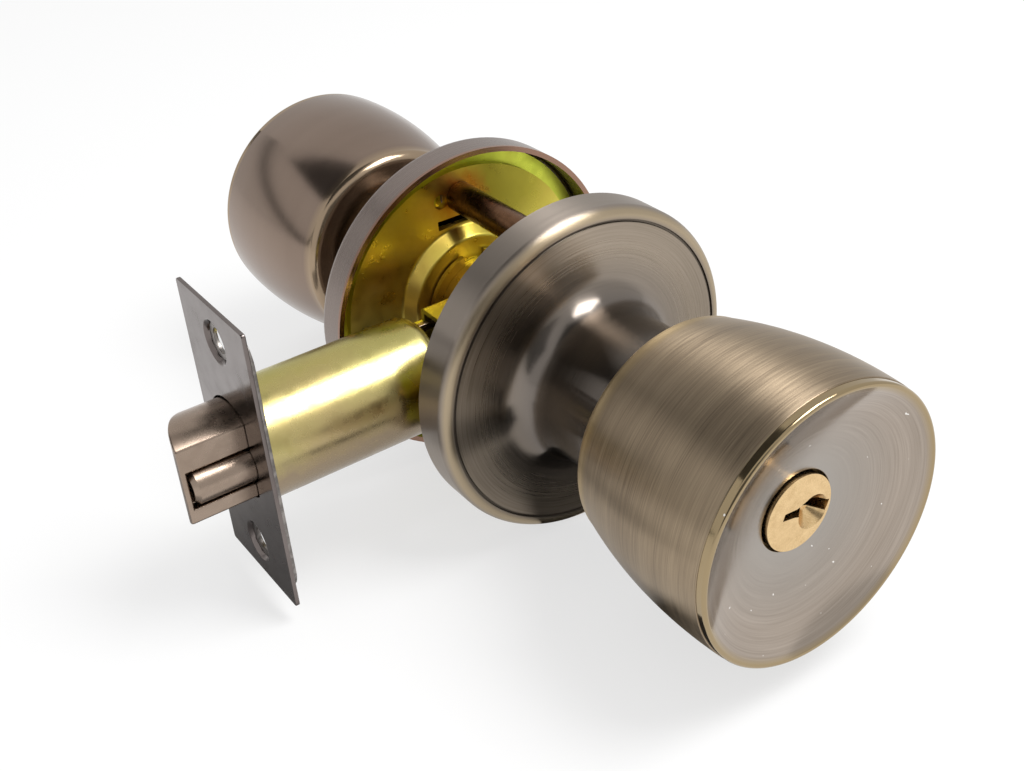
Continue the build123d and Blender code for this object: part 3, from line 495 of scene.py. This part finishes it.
def roseSpots():
    k = rose
    turn = math.radians(k["flareTurn"])
    joinR = k["neck"] + k["neckCurve"] * (1 - math.sin(turn))
    joinD = k["height"] + k["flare"] * (1 - math.cos(turn))
    bend = (joinR + k["flare"] * math.sin(turn), k["height"] + k["flare"])
    curve = (k["neck"] + k["neckCurve"], joinD + k["neckCurve"] * math.cos(turn))
    rim = (k["radius"] - k["edge"], k["height"] - k["edge"])
    half = k["grooveWidth"] / 2
    floorHalf = half * k["grooveTaper"]
    floorLevel = k["height"] - k["grooveDepth"]
    spots = [(k["radius"], 0)] + arc(rim, k["edge"], 0, 90, 12)
    spots += [(k["groove"] + half, k["height"]), (k["groove"] + floorHalf, floorLevel),
              (k["groove"] - floorHalf, floorLevel), (k["groove"] - half, k["height"])]
    spots += arc(bend, k["flare"], 270, -k["flareTurn"], 14)
    spots += arc(curve, k["neckCurve"], 270 - k["flareTurn"], k["flareTurn"] - 90, 18)[1:]
    spots += arc((k["neck"] - k["lip"], k["neckHeight"] - k["lip"]), k["lip"], 0, 90, 5)
    # turned in at the end
    spots += [(k["bore"], k["neckHeight"]), (k["bore"], k["neckHeight"] - k["wall"])]
    spots += arc(curve, k["neckCurve"] + k["wall"], 180, 90 - k["flareTurn"], 14)
    spots += arc(bend, k["flare"] + k["wall"], 270 - k["flareTurn"], k["flareTurn"], 10)[1:]
    spots += arc(rim, k["edge"] - k["wall"], 90, -90, 8)
    spots += [(k["radius"] - k["wall"], 0)]
    return spots


finishPiece(spun(roseSpots(), onSpindle(outer), spindleAxis), "outsideRose", "outside_rose", spunBrass)
print("outside rose made")


# latch tube

tube = {"radius": 10.8, "wall": 0.8, "front": -59.2, "end": -22.4, "lip": 9.6, "roll": 3.0}


def tubeSpots():
    k = tube
    turn = math.acos(1 - (k["radius"] - k["lip"]) / k["roll"])
    centre = (k["radius"] - k["roll"], k["end"] - k["roll"] * math.sin(turn))
    spots = [(k["radius"] - k["wall"], k["front"]), (k["radius"], k["front"])]
    spots += arc(centre, k["roll"], 0, math.degrees(turn), 12)
    spots += reversed(arc(centre, k["roll"] - k["wall"], 0, math.degrees(turn), 8))
    return spots


finishPiece(spun(tubeSpots(), onLatch, latchAxis, 144), "latchTube", "latch_tube", paleZinc)


# faceplate and the plate behind it

faceplate = {"front": -60.0, "back": -59.2, "width": 25.5, "height": 56.0, "corner": 0.6, "cornerSteps": 4,
             "screwPlace": 21.0, "sink": 4.1, "sinkEnd": 3.3, "bolt": 9.5, "boltFlat": -5.8, "plunger": 3.7,
             "plungerPlace": (-3.9, -1.0), "edge": 0.15}
backplate = {"front": -59.2, "back": -58.4, "width": 24.0, "height": 52.5, "corner": 5.0, "cornerSteps": 8,
             "screwPlace": 21.0, "sink": 2.3, "sinkEnd": 2.3, "tube": 10.83, "edge": 0.12}


def roundedOutline(width, height, corner, count):
    spots = []
    for i, (a, b) in enumerate([(1, 1), (-1, 1), (-1, -1), (1, -1)]):
        middle = (a * (width / 2 - corner), b * (height / 2 - corner))
        spots += arc(middle, corner, 90 * i, 90, count)
    return spots


def boltOutline(k):
    # round on the far side, flat towards the stop, with the plunger's round beside it
    turn = math.degrees(math.acos(k["boltFlat"] / k["bolt"]))
    middle = k["plungerPlace"]
    small = math.degrees(math.acos((k["boltFlat"] - middle[0]) / k["plunger"]))
    spots = arc((0, 0), k["bolt"], -turn, 2 * turn, 56)
    return spots + arc(middle, k["plunger"], small, 360 - 2 * small, 20)


def holedPlate(k, throat):
    # front and back loops of the outline and of each hole, bridged and filled
    outline = roundedOutline(k["width"], k["height"], k["corner"], k["cornerSteps"])
    loops = [(outline, outline), (throat, throat)]
    for z in (k["screwPlace"], -k["screwPlace"]):
        loops.append((circle((0, z), k["sink"], 60), circle((0, z), k["sinkEnd"], 60)))
    bm = bmesh.new()
    rims = {"front": [], "back": []}
    for frontSpots, backSpots in loops:
        pair = []
        for side, spots in (("front", frontSpots), ("back", backSpots)):
            ring = [bm.verts.new((k[side] * mm, y * mm, z * mm)) for y, z in spots]
            edges = [bm.edges.new(ends) for ends in zip(ring, ring[1:] + ring[:1])]
            rims[side] += edges
            pair += edges
        bmesh.ops.bridge_loops(bm, edges=pair)
    for edges in rims.values():
        bmesh.ops.triangle_fill(bm, use_beauty=True, use_dissolve=False, edges=edges)
    bmesh.ops.recalc_face_normals(bm, faces=bm.faces)
    bmesh.ops.dissolve_limit(bm, angle_limit=math.radians(flatAngle), verts=bm.verts, edges=bm.edges)
    breakEdges(bm, k["edge"], least=30)
    return bm


finishPiece(holedPlate(faceplate, boltOutline(faceplate)), "facePlate", "faceplate", satinNickel,
            merge=False)
finishPiece(holedPlate(backplate, circle((0, 0), backplate["tube"], 120)), "backPlate", "backplate",
            roughSteel, merge=False)
print("faceplate made")


# plates, posts, bolt and the other pieces whose edges are broken

brokenEdges = {  # piece, finish and width of the bevel
    "inside_rose": ("insideRose", satinRose, 0.0),
    "outside_mounting_plate": ("outsidePlate", yellowZinc, 0.12),
    "inside_mounting_plate": ("insidePlate", yellowZinc, 0.12),
    "mounting_posts": ("posts", copperPlate, 0.2),
    "through_screws": ("throughScrews", bareSteel, 0.1),
    "latch_case": ("latchCase", yellowZinc, 0.15),
    "latch_bolt": ("latchBolt", nickelBronze, 0.35),
    "deadlatch_plunger": ("plunger", nickelBronze, 0.3),
    "key_plug": ("keyPlug", brightBrass, 0.08),
    "turn_button": ("turnButton", satinBronze, 0.15),
    "retractor_fork": ("retractorFork", nickelBronze, 0.12),
    "latch_hub": ("latchHub", bareSteel, 0.12)}
insideNeck = {"start": 20.5, "longer": 5.0}  # drawn out to the length of the outside rose's neck
boss = {"low": 13.0, "high": 16.0, "round": 0.6, "steps": 4}  # radii between which its edges lie


def onBoss(edge):
    middle = (edge.verts[0].co + edge.verts[1].co) / (2 * mm)
    return boss["low"] < math.hypot(middle.x, middle.z) < boss["high"]


for nodeName, (pieceName, finish, width) in brokenEdges.items():
    bm = copyOf(nodeName)
    if nodeName == "inside_rose":
        for v in bm.verts:
            if v.co.y > (seat + insideNeck["start"]) * mm:
                v.co.y += insideNeck["longer"] * mm
    if nodeName.endswith("mounting_plate"):
        breakEdges(bm, boss["round"], keep=onBoss, segments=boss["steps"])
    if width:
        breakEdges(bm, width)
    finishPiece(bm, pieceName, nodeName, finish, merge=False)
print("pieces with broken edges made:", len(brokenEdges))


# springs inside the latch, each copied onto a mesh of its own

coils = {
    "bolt_spring": {"piece": "boltCoil", "joint": "bolt_slide", "held": -26.5, "travel": 12.5},
    "plunger_spring": {"piece": "plungerCoil", "joint": "plunger_slide", "held": -48.2, "travel": 7.0}}
for nodeName, k in coils.items():
    coil = finishPiece(copyOf(nodeName), k["piece"], nodeName, springSteel, merge=False)
    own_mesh(coil)
print("springs made:", len(coils))


# floor, light and camera

# floor level and size in mm, its fade in metres
stageLook = {"floorLevel": -31.8, "floorSize": 4000, "floorGrey": 0.8, "floorGlow": 0.65,
             "fadeStart": 0.5, "fadeEnd": 3.5, "farGlow": 0.88, "tentLevel": 0.8}
# lamps, cards and camera are placed in metres
lamps = {"keyBox": {"place": (0.23, -0.25, 0.60), "size": (0.34, 0.34), "watts": 4.2}}
flags = {
    "frontFlag": {"place": (-0.30, -0.50, 0.24), "size": (0.62, 0.44), "cloth": "dimCloth"},
    "topFlag": {"place": (-0.192, 0.16, 0.54), "size": (0.44, 0.60)},
    "backStrip": {"place": (-0.32, 0.405, 0.135), "size": (0.56, 0.05), "roll": -31},
    # painted shadow: the flat cards under the knob, the neck and the plate stand for the object's shadow on
    # the floor
    "knobShadowCard": {"place": (0.003, -0.0625, -0.0305), "size": (0.074, 0.021), "flat": True},
    "neckShadowCard": {"place": (0.014, -0.031, -0.0305), "size": (0.052, 0.038), "flat": True},
    "plateShadowCard": {"place": (-0.078, 0.018, -0.0305), "size": (0.046, 0.068), "flat": True,
                   "cloth": "shadowCardGrey"}}
# the grey and black cloths on the flat cards under the object are painted shadow
clothGrey = {"blackFlagAndShadowCloth": 0.06, "dimCloth": 0.16, "shadowCardGrey": 0.34}
view = {"sensor": 36, "lens": 47.119, "clip": (0.01, 50), "place": (-0.12207, -0.185231, 0.131624),
        "turn": (56.80916, 3.76233, -35.18039)}


def makeFloor():
    k = stageLook
    bm = bmesh.new()
    bmesh.ops.create_grid(bm, x_segments=1, y_segments=1, size=k["floorSize"] * mm)
    bmesh.ops.translate(bm, verts=bm.verts, vec=(0, 0, k["floorLevel"] * mm))
    mesh = bpy.data.meshes.new("floor")
    bm.to_mesh(mesh)
    bm.free()
    floor = bpy.data.objects.new("floor", mesh)
    scene.collection.objects.link(floor)
    material = bpy.data.materials.new("paleFloor")
    material.use_nodes = True
    tree = material.node_tree
    tree.nodes.clear()
    grey = k["floorGrey"]
    paint = add(tree, "ShaderNodeBsdfDiffuse", {"Color": (grey, grey, grey, 1)})
    away = add(tree, "ShaderNodeVectorMath", {0: add(tree, "ShaderNodeTexCoord").outputs["Object"]},
               operation="LENGTH").outputs["Value"]
    # the glow fades to the tent's level at the horizon
    fade = remap(tree, away, k["fadeStart"], k["fadeEnd"], 1.0, k["farGlow"])
    glow = add(tree, "ShaderNodeEmission", {"Color": (1, 1, 1, 1), "Strength": fade})
    path = add(tree, "ShaderNodeLightPath").outputs
    seen = sums(tree, "MAXIMUM", sums(tree, "MAXIMUM", path["Is Camera Ray"], path["Is Glossy Ray"]),
                path["Is Transmission Ray"])
    mix = add(tree, "ShaderNodeMixShader", {0: sums(tree, "MULTIPLY", seen, k["floorGlow"])})
    tree.links.new(paint.outputs[0], mix.inputs[1])
    tree.links.new(glow.outputs[0], mix.inputs[2])
    out = add(tree, "ShaderNodeOutputMaterial")
    tree.links.new(mix.outputs[0], out.inputs[0])
    mesh.materials.append(material)


def makeWorld():
    world = bpy.data.worlds.new("tent")
    world.use_nodes = True
    scene.world = world
    world.node_tree.nodes["Background"].inputs["Color"].default_value = (1, 1, 1, 1)
    world.node_tree.nodes["Background"].inputs["Strength"].default_value = stageLook["tentLevel"]


def facingMiddle(place):
    return (-Vector(place)).to_track_quat("-Z", "Y")


def softbox(name, look):
    light = bpy.data.lights.new(name, "AREA")
    light.shape = "RECTANGLE"
    light.size, light.size_y = look["size"]
    light.energy = look["watts"]
    lamp = bpy.data.objects.new(name, light)
    lamp.location = look["place"]
    lamp.rotation_euler = facingMiddle(look["place"]).to_euler()
    scene.collection.objects.link(lamp)


def flag(name, look):
    # dark card that only shows in the metal; the flat ones on the floor under the object are painted shadow
    bm = bmesh.new()
    bmesh.ops.create_grid(bm, x_segments=1, y_segments=1, size=0.5)
    bmesh.ops.scale(bm, verts=bm.verts, vec=(*look["size"], 1))
    bmesh.ops.rotate(bm, verts=bm.verts, matrix=Matrix.Rotation(math.radians(look.get("roll", 0)), 3, "Z"))
    if not look.get("flat"):
        bmesh.ops.rotate(bm, verts=bm.verts, matrix=facingMiddle(look["place"]).to_matrix())
    bmesh.ops.translate(bm, verts=bm.verts, vec=look["place"])
    mesh = bpy.data.meshes.new(name)
    bm.to_mesh(mesh)
    bm.free()
    mesh.materials.append(cloths[look.get("cloth", "blackFlagAndShadowCloth")])
    card = bpy.data.objects.new(name, mesh)
    scene.collection.objects.link(card)
    card.visible_camera = False
    card.visible_diffuse = False
    card.visible_shadow = False


cloths = {}
for clothName, grey in clothGrey.items():
    cloth, tree, shader = newFinish(clothName, rough=0.9, metal=0.0)
    shader.inputs["Base Color"].default_value = (grey, grey, grey, 1)
    cloths[clothName] = cloth


def makeCamera():
    data = bpy.data.cameras.new("camera")
    data.sensor_width = view["sensor"]
    data.lens = view["lens"]
    data.clip_start, data.clip_end = view["clip"]
    camera = bpy.data.objects.new("camera", data)
    camera.location = view["place"]
    camera.rotation_euler = [math.radians(v) for v in view["turn"]]
    scene.collection.objects.link(camera)
    scene.camera = camera


makeFloor()
makeWorld()
for lampName, look in lamps.items():
    softbox(lampName, look)
for flagName, look in flags.items():
    flag(flagName, look)
makeCamera()
scene.view_settings.view_transform = "Standard"
print("stage, light and camera set")
